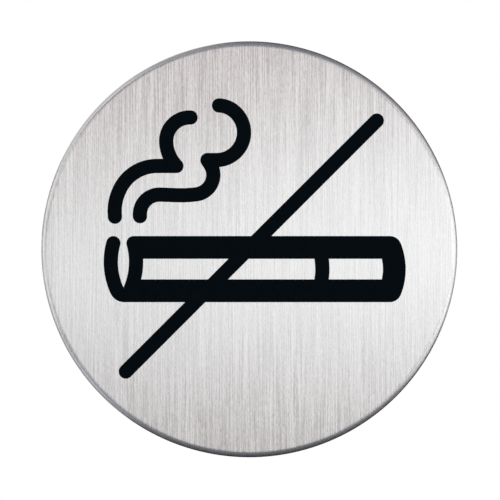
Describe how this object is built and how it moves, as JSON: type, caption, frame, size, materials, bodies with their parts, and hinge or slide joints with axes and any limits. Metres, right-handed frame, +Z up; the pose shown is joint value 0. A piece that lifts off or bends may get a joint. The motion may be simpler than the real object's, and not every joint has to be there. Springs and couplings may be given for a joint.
{
  "type": "no smoking sign",
  "caption": "Round brushed stainless steel door sign with a rolled rim, a printed no smoking pictogram and a self-adhesive foam back.",
  "frame": {"origin": "centre of the sticky face of the foam pad, where it meets the door", "axes": "+Y points out of the back into the door, +Z is up the sign, +X is to the right as the printed face is read"},
  "size_m": [0.083, 0.0016, 0.083],
  "materials": {
    "brushed_stainless": "satin",
    "black_ink": "satin",
    "foam_tape": "matte"
  },
  "bodies": {
    "root": {"face_plate": "brushed_stainless", "pictogram": "black_ink", "adhesive_pad": "foam_tape"}
  },
  "joints": []
}
